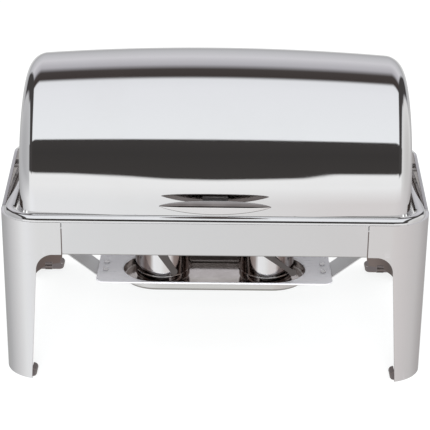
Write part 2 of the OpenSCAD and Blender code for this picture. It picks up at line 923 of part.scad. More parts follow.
// Lever fixed on the cover, bent down in front of the holder and swept to the right
module snuffer_lever(tip_x) {
    lever_t = 1.8;
    lever_half = 7;
    tip_z = shelf_z + 14;
    tip_r = 6;
    root_z = cover_z + cover_t;
    face_y = -holder_r - 5;
    translate([-lever_half, face_y, root_z]) cube([2 * lever_half, 20, lever_t]);
    along_y(face_y, lever_t) {
        polygon([
            [-lever_half, root_z + lever_t], [-lever_half, root_z - 4],
            [tip_x - tip_r, tip_z], [tip_x + tip_r, tip_z],
            [lever_half, root_z - 2], [lever_half, root_z + lever_t]
        ]);
        translate([tip_x, tip_z]) circle(tip_r);
    }
}

module left_snuffer_lever() {
    color(steel_dark) at_burner(-1) snuffer_lever(19);
}

module right_snuffer_lever() {
    color(steel_dark) at_burner(1) snuffer_lever(41);
}

front_left_leg();
front_right_leg();
rear_left_leg();
rear_right_leg();
foot_plates();
front_apron();
rear_apron();
left_side_panel();
right_side_panel();
top_plate();
lid_ring();
seam_plates();
seam_studs();
left_pan_rail();
right_pan_rail();
front_pan_rail();
rear_pan_rail();
front_ledge();
lid_buffers();
left_pivot_bolt();
right_pivot_bolt();
pivot_spacers();
pivot_washers();
pivot_nuts();
lid_stops();
fuel_shelf();
left_shelf_hanger();
right_shelf_hanger();
hanger_screws();
hanger_nuts();
shelf_rivets();
lid_shell();
left_hinge_plate();
right_hinge_plate();
hinge_plate_rivets();
lid_handle();
handle_mount();
handle_screws();
water_pan();
food_pan();
left_fuel_holder();
right_fuel_holder();
left_snuffer_pin();
right_snuffer_pin();
left_snuffer_cover();
right_snuffer_cover();
left_snuffer_lever();
right_snuffer_lever();
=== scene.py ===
import json
import math

import bmesh
import bpy
from mathutils import Matrix, Vector


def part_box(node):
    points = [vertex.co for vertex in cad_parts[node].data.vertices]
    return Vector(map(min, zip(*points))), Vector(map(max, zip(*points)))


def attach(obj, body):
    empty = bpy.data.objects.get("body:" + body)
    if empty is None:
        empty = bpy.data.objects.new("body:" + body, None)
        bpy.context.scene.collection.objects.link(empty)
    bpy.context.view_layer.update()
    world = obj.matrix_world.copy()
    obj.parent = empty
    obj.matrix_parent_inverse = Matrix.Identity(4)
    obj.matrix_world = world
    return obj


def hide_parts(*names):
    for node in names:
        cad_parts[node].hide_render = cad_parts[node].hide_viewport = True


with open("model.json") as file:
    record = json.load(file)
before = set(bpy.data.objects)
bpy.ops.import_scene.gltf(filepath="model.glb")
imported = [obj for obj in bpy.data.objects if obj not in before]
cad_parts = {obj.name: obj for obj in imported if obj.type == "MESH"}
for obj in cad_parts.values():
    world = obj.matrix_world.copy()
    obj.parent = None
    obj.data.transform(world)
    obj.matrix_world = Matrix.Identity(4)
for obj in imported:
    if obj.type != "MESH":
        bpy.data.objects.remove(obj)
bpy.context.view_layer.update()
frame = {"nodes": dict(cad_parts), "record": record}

MM = 0.001

# ---------- sizes read from the frame ----------

LID_LO, LID_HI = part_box("lid_shell")
PANEL_LO, PANEL_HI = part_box("right_side_panel")
APRON_LO, APRON_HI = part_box("front_apron")
LEG_LO, LEG_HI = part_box("front_right_leg")
RING_LO, RING_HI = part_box("lid_ring")
PLATE_LO, PLATE_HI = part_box("top_plate")
GRIP_LO, GRIP_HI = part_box("lid_handle")
SHELF_LO, SHELF_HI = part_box("fuel_shelf")
BOLT_LO, BOLT_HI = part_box("right_pivot_bolt")
PIVOT_Z = next(j["pos_m"][2] for j in frame["record"]["behaviour"]["joints"] if j["name"] == "lid_roll")

HALF_W = PANEL_HI.x
HALF_D = -APRON_LO.y
RIM_Z = LEG_HI.z
LID_R = LID_HI.z - PIVOT_Z
LID_HALF = LID_HI.x

SHEET = 1.2 * MM
CORNER_R = 60 * MM
LEG_TOP_X = 268 * MM
LEG_FOOT_X = 281 * MM
ARCH_R = 26 * MM
SEAM_GAP = 1.2 * MM
SEAM_SHADOW = 0.5 * MM
BEAD_R = 8.8 * MM
# dark brown painted shade for the faces of the frame and legs turned towards the middle of the dish
INSIDE_SHADE_TINT = (0.21, 0.17, 0.155)
LID_CROWN = 12 * MM
LID_EDGE_R = 30 * MM
LID_DIP = math.radians(4)
CROWN_R = (LID_HALF**2 + LID_CROWN**2) / (2 * LID_CROWN)
OPENING_GAP = 3 * MM
OPENING_SIDE_GAP = 2.6 * MM
OPENING_R = 30 * MM
RING_CORNER_R = 54 * MM
SPACER_CLEARANCE = 7.4 * MM
SHELF_CORNER_R = 16 * MM
BURNER_Y = -45 * MM


BURNER_X = (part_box("right_fuel_holder")[0].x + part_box("right_fuel_holder")[1].x) / 2


# ---------- mesh building ----------


def link_mesh(name, bm, inside):
    """Mesh object from bm, its faces turned away from the point inside."""
    bmesh.ops.remove_doubles(bm, verts=bm.verts, dist=1e-6)
    bmesh.ops.recalc_face_normals(bm, faces=bm.faces)
    bm.faces.ensure_lookup_table()
    if inside is not None:
        score = sum((f.calc_center_median() - inside).dot(f.normal) * f.calc_area() for f in bm.faces)
        if score < 0:
            bmesh.ops.reverse_faces(bm, faces=bm.faces)
    mesh = bpy.data.meshes.new(name)
    bm.to_mesh(mesh)
    bm.free()
    mesh.polygons.foreach_set("use_smooth", [True] * len(mesh.polygons))
    obj = bpy.data.objects.new(name, mesh)
    bpy.context.scene.collection.objects.link(obj)
    return obj


def grid(name, rows, inside, close_rows=False, close_cols=False, cap=False):
    """Surface through rows of points; rows and columns may close on themselves, and end rows may be capped."""
    bm = bmesh.new()
    verts = [[bm.verts.new(p) for p in row] for row in rows]
    n_rows, n_cols = len(rows), len(rows[0])
    for i in range(n_rows if close_rows else n_rows - 1):
        for j in range(n_cols if close_cols else n_cols - 1):
            a, b = verts[i], verts[(i + 1) % n_rows]
            k = (j + 1) % n_cols
            quad = [a[j], a[k], b[k], b[j]]
            bm.faces.new(quad)
    if cap:
        bm.faces.new(verts[0])
        bm.faces.new(verts[-1])
    return link_mesh(name, bm, inside)


def thicken(obj, thickness=SHEET):
    solid = obj.modifiers.new("thickness", "SOLIDIFY")
    solid.thickness = thickness
    solid.offset = -1
    solid.use_even_offset = True
    solid.use_quality_normals = True
    return obj


def soften(obj, width=0.4 * MM, segments=2, angle=40):
    bevel = obj.modifiers.new("edges", "BEVEL")
    bevel.width = width
    bevel.segments = segments
    bevel.limit_method = "ANGLE"
    bevel.angle_limit = math.radians(angle)
    bevel.use_clamp_overlap = True
    weighted = obj.modifiers.new("normals", "WEIGHTED_NORMAL")
    weighted.keep_sharp = True
    return obj


def place(obj, body, material, *nodes, slot=None, mirrored=True):
    """Rides obj on a body; pieces that aren't mirrored stay out of reflections, as under a light tent."""
    obj.visible_glossy = mirrored
    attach(obj, body)
    obj.data.materials.append(material)
    if nodes:
        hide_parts(*nodes)
    return obj


def arc(cx, cy, r, start, end, count):
    """Points on an arc in a plane, angles in degrees."""
    step = (end - start) / count
    angles = [math.radians(start + step * i) for i in range(count + 1)]
    return [(cx + r * math.cos(a), cy + r * math.sin(a)) for a in angles]


def between(end, start, per_side, marks):
    """Points from end to start; along the left and right sides at the given y marks, if there are any."""
    if marks and abs(end[0] - start[0]) < 1e-9:
        ordered = sorted(marks, reverse=end[1] > start[1])
        return [(end[0], y) for y in ordered]
    shares = [k / per_side for k in range(1, per_side)]
    return [(end[0] + (start[0] - end[0]) * t, end[1] + (start[1] - end[1]) * t) for t in shares]


def arc_start(corner):
    cx, cy, r, angle = corner
    return (cx + r * math.cos(math.radians(angle)), cy + r * math.sin(math.radians(angle)))


def round_rect_loop(half_x, half_y, r, per_corner=12, per_side=8, marks=None):
    """Closed loop of a rectangle with rounded corners, always with the same number of points."""
    corners = [(half_x - r, half_y - r, 0), (r - half_x, half_y - r, 90), (r - half_x, r - half_y, 180), (half_x - r, r - half_y, 270)]
    loop = []
    for i, (cx, cy, a) in enumerate(corners):
        loop += arc(cx, cy, r, a, a + 90, per_corner)
        nx, ny, na = corners[(i + 1) % 4]
        loop += between(loop[-1], arc_start((nx, ny, r, na)), per_side, marks)
    return loop


def bowed_loop(margin, per_corner=12, per_side=8, marks=None):
    """Loop of the lid's opening, bowed at front and rear, moved outwards by a margin."""
    gap = OPENING_GAP + margin
    front, bow_r = LID_R + gap, CROWN_R + gap
    half, r = LID_HALF + OPENING_SIDE_GAP + margin, OPENING_R + margin
    cx = half - r
    cy = math.sqrt((bow_r - r) ** 2 - cx**2) - bow_r + front
    tilt = math.degrees(math.asin(cx / (bow_r - r)))
    corners = [(cx, cy, 0, 90 - tilt), (-cx, cy, 90 + tilt, 180), (-cx, -cy, 180, 270 - tilt), (cx, -cy, 270 + tilt, 360)]
    loop = []
    for i, (x, y, a, b) in enumerate(corners):
        loop += arc(x, y, r, a, b, per_corner)
        nx, ny, na, _ = corners[(i + 1) % 4]
        straight = between(loop[-1], arc_start((nx, ny, r, na)), per_side, marks)
        if i in (0, 2):
            side = 1 if i == 0 else -1
            straight = [(x_k, side * (math.sqrt(bow_r**2 - x_k**2) - bow_r + front)) for x_k, _ in straight]
        loop += straight
    return loop


def obround_loop(half_x, r, per_corner=12, per_side=8):
    return round_rect_loop(half_x, r, r * 0.999, per_corner, per_side)


def at_height(loop, z, dx=0.0, dy=0.0):
    return [(x + dx, y + dy, z) for x, y in loop]


def lathe(name, profile, centre, axis="Z", steps=96, inside=None):
    """Turned solid from a closed (radius, height) profile about an axis through centre."""
    rows = []
    for i in range(steps):
        a = 2 * math.pi * i / steps
        c, s = math.cos(a), math.sin(a)
        if axis == "Z":
            rows.append([(centre[0] + r * c, centre[1] + r * s, centre[2] + h) for r, h in profile])
        else:
            rows.append([(centre[0] + h, centre[1] + r * c, centre[2] + r * s) for r, h in profile])
    return grid(name, rows, inside, close_rows=True)


# ---------- materials ----------


class Nodes:
    """Short way to write node materials."""

    def __init__(self, name):
        self.material = bpy.data.materials.new(name)
        self.material.use_nodes = True
        self.tree = self.material.node_tree
        self.tree.nodes.clear()

    def new(self, kind, **inputs):
        node = self.tree.nodes.new(kind)
        for key, value in inputs.items():
            socket = node.inputs[key.replace("_", " ")] if isinstance(key, str) else node.inputs[key]
            self.put(socket, value)
        return node

    def put(self, socket, value):
        if isinstance(value, bpy.types.NodeSocket):
            self.tree.links.new(value, socket)
        else:
            socket.default_value = value

    def math(self, operation, a, b=None, clamp=False):
        node = self.tree.nodes.new("ShaderNodeMath")
        node.operation = operation
        node.use_clamp = clamp
        self.put(node.inputs[0], a)
        if b is not None:
            self.put(node.inputs[1], b)
        return node.outputs[0]

    def ramp(self, value, stops, smooth=False):
        node = self.tree.nodes.new("ShaderNodeValToRGB")
        self.put(node.inputs["Fac"], value)
        elements = node.color_ramp.elements
        while len(elements) < len(stops):
            elements.new(0.5)
        for element, (at, tone) in zip(elements, stops):
            element.position = at
            element.color = (*tone, 1) if isinstance(tone, tuple) else (tone, tone, tone, 1)
        if smooth:
            node.color_ramp.interpolation = "EASE"
        return node.outputs["Color"]

    def mapped(self, scale):
        coords = self.new("ShaderNodeTexCoord")
        node = self.new("ShaderNodeMapping", Vector=coords.outputs["Object"])
        node.inputs["Scale"].default_value = scale
        return node.outputs["Vector"]

    def noise(self, scale, size, detail=3.0, roughness=0.5):
        node = self.new("ShaderNodeTexNoise", Vector=self.mapped(scale), Scale=size, Detail=detail, Roughness=roughness)
        return node.outputs["Fac"]

    def dot(self, a, b):
        node = self.tree.nodes.new("ShaderNodeVectorMath")
        node.operation = "DOT_PRODUCT"
        self.put(node.inputs[0], a)
        self.put(node.inputs[1], b)
        return node.outputs["Value"]

    def turned_inwards(self, centre=(0.0, 0.0, 0.0), margin=0.0):
        """1 on faces that look sideways towards the upright line through centre, else 0."""
        coords = self.new("ShaderNodeTexCoord")
        away = self.tree.nodes.new("ShaderNodeVectorMath")
        away.operation = "SUBTRACT"
        self.put(away.inputs[0], coords.outputs["Object"])
        away.inputs[1].default_value = centre
        flat = self.tree.nodes.new("ShaderNodeVectorMath")
        flat.operation = "MULTIPLY"
        self.put(flat.inputs[0], away.outputs[0])
        flat.inputs[1].default_value = (1.0, 1.0, 0.0)
        return self.math("LESS_THAN", self.dot(flat.outputs[0], coords.outputs["Normal"]), margin)

    def mix(self, factor, a, b):
        node = self.tree.nodes.new("ShaderNodeMix")
        node.data_type = "RGBA"
        self.put(node.inputs["Factor"], factor)
        self.put(node.inputs[6], a)
        self.put(node.inputs[7], b)
        return node.outputs[2]


def polished_steel(name, tint, rough, grain=(1.0, 40.0, 40.0), lines=0.02, waves=0.25, smudge=0.05, inside=None):
    """Mirror-polished sheet: fine polishing lines along the grain, soft waviness, smudges and bright worn edges.
    With inside, faces turned towards the middle of the dish are rougher and painted in that darker brown tint: painted
    shade and painted dark reflection inside the frame."""
    n = Nodes(name)
    streaks = n.noise(grain, 14.0, 4.0, 0.6)
    fine = n.noise(tuple(g * 3 for g in grain), 40.0, 2.0, 0.7)
    hands = n.noise((1, 1, 1), 9.0, 5.0, 0.62)
    smear = n.ramp(hands, [(0.0, 0.0), (0.5, 0.0), (0.72, 1.0), (1.0, 1.0)])
    geometry = n.new("ShaderNodeNewGeometry")
    edge = n.ramp(geometry.outputs["Pointiness"], [(0.0, 0.0), (0.53, 0.0), (0.62, 1.0), (1.0, 1.0)])
    shade = n.math("MULTIPLY", n.math("SUBTRACT", streaks, 0.5), 0.10)
    dark = tuple(c * 0.90 for c in tint)
    base = n.mix(n.math("ADD", shade, 0.5, clamp=True), (*dark, 1), (*tint, 1))
    base = n.mix(n.math("MULTIPLY", smear, 0.10), base, (0.72, 0.71, 0.69, 1))
    base = n.mix(n.math("MULTIPLY", edge, 0.5), base, (0.93, 0.93, 0.94, 1))
    roughness = n.math("ADD", n.math("MULTIPLY", smear, smudge), rough)
    roughness = n.math("ADD", roughness, n.math("MULTIPLY", streaks, lines))
    roughness = n.math("ADD", roughness, n.math("MULTIPLY", edge, 0.06), clamp=True)
    if inside:
        # painted shade: faces turned towards the middle of the dish are tinted dark brown and made rougher
        inner = n.turned_inwards(margin=-0.01)
        base = n.mix(inner, base, (*inside, 1))
        roughness = n.math("ADD", roughness, n.math("MULTIPLY", inner, 0.22), clamp=True)
    wavy = n.noise((1, 1, 1), 7.0, 1.0, 0.4)
    height = n.math("ADD", n.math("MULTIPLY", fine, 0.004), n.math("MULTIPLY", wavy, waves))
    bump = n.new("ShaderNodeBump", Height=height, Strength=1.0, Distance=0.001)
    shader = n.new("ShaderNodeBsdfPrincipled", Base_Color=base, Metallic=1.0, Roughness=roughness, Normal=bump.outputs["Normal"])
    output = n.new("ShaderNodeOutputMaterial", Surface=shader.outputs["BSDF"])
    return n.material


def satin_steel(name, tint, rough, grain=(1.0, 30.0, 30.0), heat=0.0, worn=0.5):
    """Brushed or rolled sheet with visible grain and handling marks; heat browns what looks down at the burners."""
    n = Nodes(name)
    grain_lines = n.noise(grain, 45.0, 5.0, 0.7)
    marks = n.noise((1, 1, 1), 14.0, 5.0, 0.65)
    stain = n.ramp(marks, [(0.0, 0.0), (0.52, 0.0), (0.75, 1.0), (1.0, 1.0)])
    geometry = n.new("ShaderNodeNewGeometry")
    edge = n.ramp(geometry.outputs["Pointiness"], [(0.0, 0.0), (0.52, 0.0), (0.60, 1.0), (1.0, 1.0)])
    low = tuple(c * 0.78 for c in tint)
    base = n.mix(grain_lines, (*low, 1), (*tint, 1))
    base = n.mix(n.math("MULTIPLY", stain, 0.25), base, (0.42, 0.40, 0.38, 1))
    if heat:
        coords = n.new("ShaderNodeTexCoord")
        down = n.math("MULTIPLY", n.dot(coords.outputs["Normal"], (0.0, 0.0, -1.0)), heat, clamp=True)
        axes = n.new("ShaderNodeSeparateXYZ", Vector=coords.outputs["Object"])
        across = n.math("SUBTRACT", n.math("ABSOLUTE", axes.outputs["X"]), BURNER_X)
        along = n.math("SUBTRACT", axes.outputs["Y"], BURNER_Y)
        away = n.math("SQRT", n.math("ADD", n.math("MULTIPLY", across, across), n.math("MULTIPLY", along, along)))
        down = n.math("MULTIPLY", down, n.ramp(away, [(0.0, 1.0), (0.03, 0.95), (0.12, 0.15), (1.0, 0.0)]))
        base = n.mix(down, base, n.mix(marks, (0.06, 0.045, 0.04, 1), (0.20, 0.15, 0.12, 1)))
    base = n.mix(n.math("MULTIPLY", edge, worn), base, (0.85, 0.85, 0.86, 1))
    roughness = n.math("ADD", n.math("MULTIPLY", grain_lines, 0.14), rough)
    roughness = n.math("ADD", roughness, n.math("MULTIPLY", stain, 0.10), clamp=True)
    bump = n.new("ShaderNodeBump", Height=grain_lines, Strength=0.25, Distance=0.0001)
    shader = n.new("ShaderNodeBsdfPrincipled", Base_Color=base, Metallic=1.0, Roughness=roughness, Normal=bump.outputs["Normal"])
    n.new("ShaderNodeOutputMaterial", Surface=shader.outputs["BSDF"])
    return n.material


def shelf_steel(name):
    """Pale rolled plate; inside the well the steel is glossier and painted darker brown as painted shade and painted
    dark reflection from under the pan, mottled as burner soot.
    """
    n = Nodes(name)
    cx, cy = (SHELF_LO.x + SHELF_HI.x) / 2, (SHELF_LO.y + SHELF_HI.y) / 2
    coords = n.new("ShaderNodeTexCoord")
    axes = n.new("ShaderNodeSeparateXYZ", Vector=coords.outputs["Object"])
    low = n.math("LESS_THAN", axes.outputs["Z"], SHELF_HI.z - 2.0 * MM)
    well = n.math("MULTIPLY", low, n.turned_inwards((cx, cy, 0.0), 0.004))
    rolled = n.noise((1.0, 25.0, 25.0), 30.0, 4.0, 0.6)
    soot = n.noise((1, 1, 1), 22.0, 5.0, 0.65)
    plate = n.mix(rolled, (0.88, 0.88, 0.93, 1), (0.94, 0.94, 0.99, 1))
    # painted shade inside the well: dark brown, mottled as soot
    well_shade_and_soot = n.mix(soot, (0.34, 0.30, 0.28, 1), (0.92, 0.88, 0.87, 1))
    under = n.math("SUBTRACT", low, well)
    base = n.mix(under, n.mix(well, plate, well_shade_and_soot), n.mix(rolled, (0.66, 0.65, 0.63, 1), (0.78, 0.77, 0.75, 1)))
    roughness = n.math("ADD", n.math("MULTIPLY", rolled, 0.10), n.math("SUBTRACT", 0.24, n.math("MULTIPLY", low, 0.16)), clamp=True)
    metal = n.math("ADD", 0.25, n.math("MULTIPLY", low, 0.75), clamp=True)
    bump = n.new("ShaderNodeBump", Height=rolled, Strength=0.2, Distance=0.0001)
    n_shader = n.new("ShaderNodeBsdfPrincipled", Base_Color=base, Metallic=metal, Roughness=roughness, Normal=bump.outputs["Normal"])
    n.new("ShaderNodeOutputMaterial", Surface=n_shader.outputs["BSDF"])
    return n.material


def cup_steel(name, tint):
    """Polished cup, painted dark brown towards its sides as painted shade and painted dark reflection, with turning
    lines round it.
    """
    n = Nodes(name)
    coords = n.new("ShaderNodeTexCoord")
    across = n.math("ABSOLUTE", n.dot(coords.outputs["Normal"], (1.0, 0.0, 0.0)))
    turned = n.noise((1.0, 1.0, 40.0), 30.0, 3.0, 0.6)
    soot = n.noise((1, 1, 1), 26.0, 5.0, 0.65)
    # painted shade and dark reflection: dark brown bands on faces turned towards left and right
    side_shade = n.ramp(across, [(0.0, 0.0), (0.30, 0.05), (0.42, 0.85), (0.62, 1.0), (0.74, 0.45), (0.86, 1.0), (1.0, 1.0)])
    side_shade_tone = n.mix(soot, (0.10, 0.07, 0.06, 1), (0.36, 0.28, 0.25, 1))
    base = n.mix(n.math("MULTIPLY", soot, 0.25), (*tint, 1), (0.70, 0.66, 0.63, 1))
    base = n.mix(side_shade, base, side_shade_tone)
    roughness = n.math("ADD", n.math("MULTIPLY", soot, 0.08), n.math("MULTIPLY", turned, 0.08), clamp=True)
    bump = n.new("ShaderNodeBump", Height=turned, Strength=0.15, Distance=0.0001)
    shader = n.new("ShaderNodeBsdfPrincipled", Base_Color=base, Metallic=1.0, Roughness=roughness, Normal=bump.outputs["Normal"])
    n.new("ShaderNodeOutputMaterial", Surface=shader.outputs["BSDF"])
    return n.material


def grip_steel(name, tint):
    """Polished grip: painted highlight in front and on top, painted shade over its rounded edges and underneath."""
    n = Nodes(name)
    coords = n.new("ShaderNodeTexCoord")
    forward = n.dot(coords.outputs["Normal"], (0.0, -1.0, 0.0))
    brushed = n.noise((1.0, 30.0, 30.0), 40.0, 4.0, 0.6)
    smudge = n.noise((1, 1, 1), 40.0, 4.0, 0.6)
    # painted shade tone for edges and underside, mottled by the smudge noise
    dark = n.mix(smudge, (0.13, 0.115, 0.11, 1), (0.30, 0.27, 0.26, 1))
    bright = n.mix(brushed, tuple(c * 0.94 for c in tint) + (1,), (*tint, 1))
    upward = n.dot(coords.outputs["Normal"], (0.0, 0.0, 1.0))
    # painted highlight on faces turned to the front and upwards
    front_highlight = n.ramp(forward, [(0.0, 0.0), (0.90, 0.0), (0.985, 1.0), (1.0, 1.0)])
    top_highlight = n.ramp(upward, [(0.0, 0.0), (0.88, 0.0), (0.95, 0.85), (1.0, 0.85)])
    base = n.mix(n.math("MAXIMUM", front_highlight, top_highlight), dark, bright)
    roughness = n.math("ADD", n.math("MULTIPLY", brushed, 0.05), n.math("ADD", n.math("MULTIPLY", smudge, 0.04), 0.05))
    bump = n.new("ShaderNodeBump", Height=brushed, Strength=0.1, Distance=0.0001)
    shader = n.new("ShaderNodeBsdfPrincipled", Base_Color=base, Metallic=1.0, Roughness=roughness, Normal=bump.outputs["Normal"])
    n.new("ShaderNodeOutputMaterial", Surface=shader.outputs["BSDF"])
    return n.material


def moulded(name, tint, rough, speckle=0.3):
    """Rubber or nylon: grainy skin with dusty patches."""
    n = Nodes(name)
    skin = n.noise((1, 1, 1), 900.0, 3.0, 0.6)
    dust = n.noise((1, 1, 1), 60.0, 4.0, 0.6)
    base = n.mix(n.math("MULTIPLY", dust, speckle), (*tint, 1), (0.45, 0.44, 0.42, 1))
    roughness = n.math("ADD", n.math("MULTIPLY", skin, 0.2), rough, clamp=True)
    bump = n.new("ShaderNodeBump", Height=skin, Strength=0.4, Distance=0.0002)
    shader = n.new("ShaderNodeBsdfPrincipled", Base_Color=base, Metallic=0.0, Roughness=roughness, Normal=bump.outputs["Normal"])
    n.new("ShaderNodeOutputMaterial", Surface=shader.outputs["BSDF"])
    return n.material


STEEL = (0.90, 0.90, 0.905)
LID_STEEL = polished_steel("lid_steel", STEEL, 0.025, waves=0.10)
FRAME_STEEL = polished_steel("frame_steel", (0.82, 0.82, 0.825), 0.05, waves=0.08, inside=INSIDE_SHADE_TINT)
RING_STEEL = polished_steel("ring_steel", STEEL, 0.04, waves=0.04)
LEDGE_STEEL = satin_steel("ledge_steel", (0.93, 0.93, 0.935), 0.42, worn=0.1)
LEG_STEEL = polished_steel("leg_steel", (0.85, 0.845, 0.845), 0.06, grain=(40.0, 40.0, 1.0), waves=0.12, inside=INSIDE_SHADE_TINT)
HANDLE_STEEL = polished_steel("handle_steel", STEEL, 0.03, waves=0.0)
GRIP_STEEL = grip_steel("grip_steel", (0.90, 0.89, 0.89))
CUP_STEEL = cup_steel("cup_steel", (0.90, 0.90, 0.905))
SHELF_STEEL = shelf_steel("shelf_steel")
PAN_STEEL = satin_steel("pan_steel", (0.82, 0.82, 0.82), 0.14, heat=1.0)
BRACKET_STEEL = satin_steel("bracket_steel", (0.58, 0.58, 0.58), 0.28)
HANGER_STEEL = satin_steel("hanger_steel", (0.84, 0.84, 0.84), 0.30, worn=0.1)
LEVER_STEEL = satin_steel("lever_steel", (0.15, 0.135, 0.13), 0.30, worn=0.02)
# dark brown; on the seam plates behind the seam gap it is painted shade
FOOT_STEEL = satin_steel("foot_steel", (0.24, 0.20, 0.19), 0.26, grain=(8.0, 8.0, 8.0), worn=0.03)
FASTENER_STEEL = satin_steel("fastener_steel", (0.74, 0.74, 0.75), 0.16, grain=(6.0, 6.0, 6.0))
RUBBER = moulded("buffer_rubber_skin", (0.035, 0.035, 0.038), 0.6)
NYLON = moulded("washer_nylon_skin", (0.80, 0.79, 0.74), 0.4, 0.15)


# ---------- lid ----------


def lid_profile():
    """(x, radius) points from the left end wall's bore over the crown to the right one."""
    crown_c = CROWN_R - LID_R
    edge_x = LID_HALF - LID_EDGE_R
    edge_rad = math.sqrt((CROWN_R - LID_EDGE_R) ** 2 - edge_x**2) - crown_c
    tilt = math.degrees(math.asin(edge_x / (CROWN_R - LID_EDGE_R)))
    bore = 6.2 * MM
    wall = [bore, 20 * MM, 60 * MM, 105 * MM, edge_rad - 8 * MM]
    right = [(LID_HALF, r) for r in wall]
    right += arc(edge_x, edge_rad, LID_EDGE_R, 0, 90 - tilt, 14)
    tangent = math.radians(tilt)
    steps = 44
    angles = [tangent - 2 * tangent * i / steps for i in range(1, steps)]
    crown = [(CROWN_R * math.sin(a), CROWN_R * math.cos(a) - crown_c) for a in angles]
    left = [(-x, r) for x, r in reversed(right)]
    return right + crown + left


def build_lid():
    profile = lid_profile()
    steps = 94
    sweep = math.pi + 2 * LID_DIP
    rows = []
    for i in range(steps + 1):
        a = -LID_DIP + sweep * i / steps
        rows.append([(x, -r * math.cos(a), PIVOT_Z + r * math.sin(a)) for x, r in profile])
    shell = grid("lid_shell_skin", rows, Vector((0, 0, PIVOT_Z)))
    soften(thicken(shell), 0.35 * MM)
    place(shell, "lid", LID_STEEL, "lid_shell")


def build_handle():
    half_l = (GRIP_HI.x - GRIP_LO.x) / 2
    depth = GRIP_HI.y - GRIP_LO.y
    height = GRIP_HI.z - GRIP_LO.z
    end_depth, end_height, slope = 5 * MM, 9 * MM, 5.5 * MM
    back_sag, low_sag = depth - end_depth, height - end_height
    back_r = (half_l**2 + back_sag**2) / (2 * back_sag)
    low_r = (half_l**2 + low_sag**2) / (2 * low_sag)
    rows = []
    steps = 60
    for i in range(steps + 1):
        x = half_l * math.sin(math.pi * (i / steps - 0.5))
        pinch = math.sqrt(max(1 - (abs(x) / half_l) ** 8, 0.04))
        back = GRIP_HI.y - (back_r - math.sqrt(back_r**2 - x * x))
        low = GRIP_LO.z + (low_r - math.sqrt(low_r**2 - x * x))
        front = GRIP_LO.y
        front_top = GRIP_HI.z - slope
        back_top = front_top + (back - front) / depth * slope
        corners = [(front, low), (back, low), (back, back_top), (front, front_top)]
        section = rounded_outline(corners, [1.6 * MM, 1.4 * MM, 2.6 * MM, 4.2 * MM], 6)
        cy, cz = (front + back) / 2, (low + front_top) / 2
        rows.append([(x, cy + (y - cy) * pinch, cz + (z - cz) * pinch) for y, z in section])
    middle = Vector((0, (GRIP_LO.y + GRIP_HI.y) / 2, (GRIP_LO.z + GRIP_HI.z) / 2))
    grip = grid("lid_grip", rows, middle, close_cols=True, cap=True)
    soften(grip, 0.5 * MM, 2, 60)
    place(grip, "lid", GRIP_STEEL, "lid_handle")


def rounded_outline(corners, radii, steps):
    """Closed outline through convex corners, each replaced by a small curve no longer than its sides allow."""
    points = []
    count = len(corners)
    for i in range(count):
        p = Vector(corners[i])
        last, following = Vector(corners[i - 1]) - p, Vector(corners[(i + 1) % count]) - p
        to_last = last.normalized() * min(radii[i], 0.42 * last.length)
        to_next = following.normalized() * min(radii[i], 0.42 * following.length)
        for k in range(steps + 1):
            t = k / steps
            points.append(tuple(p + to_last * (1 - t) ** 2 + to_next * t**2))
    return points


# ---------- frame ----------


def leg_path_point(s):
    """Plan point at length s from the side edge of the front-right leg, round its corner."""
    side_end = HALF_D - CORNER_R
    straight = side_end - (side_end - 5 * MM)
    cx, cy = HALF_W - CORNER_R, -side_end
    bend = CORNER_R * math.pi / 2
    if s <= straight:
        return (HALF_W, cy + straight - s)
    if s <= straight + bend:
        a = (s - straight) / CORNER_R
        return (cx + CORNER_R * math.cos(a), cy - CORNER_R * math.sin(a))
    return (cx - (s - straight - bend), -HALF_D)


def leg_inner_x(z):
    arch_z = APRON_LO.z - ARCH_R
    if z <= arch_z:
        return LEG_FOOT_X + (LEG_TOP_X - LEG_FOOT_X) * z / arch_z
    if z < APRON_LO.z - 1e-6:
        return LEG_TOP_X - ARCH_R + math.sqrt(max(ARCH_R**2 - (z - arch_z) ** 2, 0))
    return APRON_HI.x + SEAM_GAP


def leg_length(x):
    """Path length at which the leg's plan reaches x."""
    cx = HALF_W - CORNER_R
    straight, bend = 5 * MM, CORNER_R * math.pi / 2
    if x >= cx:
        return straight + CORNER_R * math.acos((x - cx) / CORNER_R)
    return straight + bend + cx - x


def leg_rows():
    arch_z = APRON_LO.z - ARCH_R
    heights = [arch_z * i / 8 for i in range(9)]
    heights += [arch_z + ARCH_R * math.sin(math.radians(a)) for a in range(6, 91, 6)]
    heights += [APRON_LO.z + 0.3 * MM, APRON_LO.z + 17 * MM, APRON_LO.z + 34 * MM, RIM_Z]
    columns = 30
    rows = []
    for z in heights:
        length = leg_length(leg_inner_x(z))
        rows.append([(*leg_path_point(length * j / columns), z) for j in range(columns + 1)])
    return rows


def build_legs():
    for front, fy in (("front", 1), ("rear", -1)):
        for side, fx in (("right", 1), ("left", -1)):
            rows = [[(fx * x, fy * y, z) for x, y, z in row] for row in leg_rows()]
            leg = grid(f"{front}_{side}_leg_skin", rows, Vector((fx * 0.22, -fy * 0.15, 0.13)))
            soften(thicken(leg), 0.35 * MM)
            place(leg, "frame", LEG_STEEL, f"{front}_{side}_leg", mirrored=False)


def build_aprons():
    bend = 2.2 * MM
    fold = 9 * MM
    low = APRON_LO.z
    section = [(-HALF_D, RIM_Z), (-HALF_D, low + 17 * MM)]
    section += [(-HALF_D + bend + y, low + bend + z) for y, z in arc(0, 0, bend, 180, 270, 5)]
    section.append((-HALF_D + fold, low))
    columns = 24
    for front, fy in (("front", 1), ("rear", -1)):
        rows = []
        for i in range(columns + 1):
            x = (APRON_HI.x - SEAM_SHADOW) * (2 * i / columns - 1)
            rows.append([(x, fy * y, z) for y, z in section])
        apron = grid(f"{front}_apron_skin", rows, Vector((0, 0, RIM_Z + 0.05)))
        soften(thicken(apron), 0.35 * MM)
        place(apron, "frame", FRAME_STEEL, f"{front}_apron", mirrored=False)


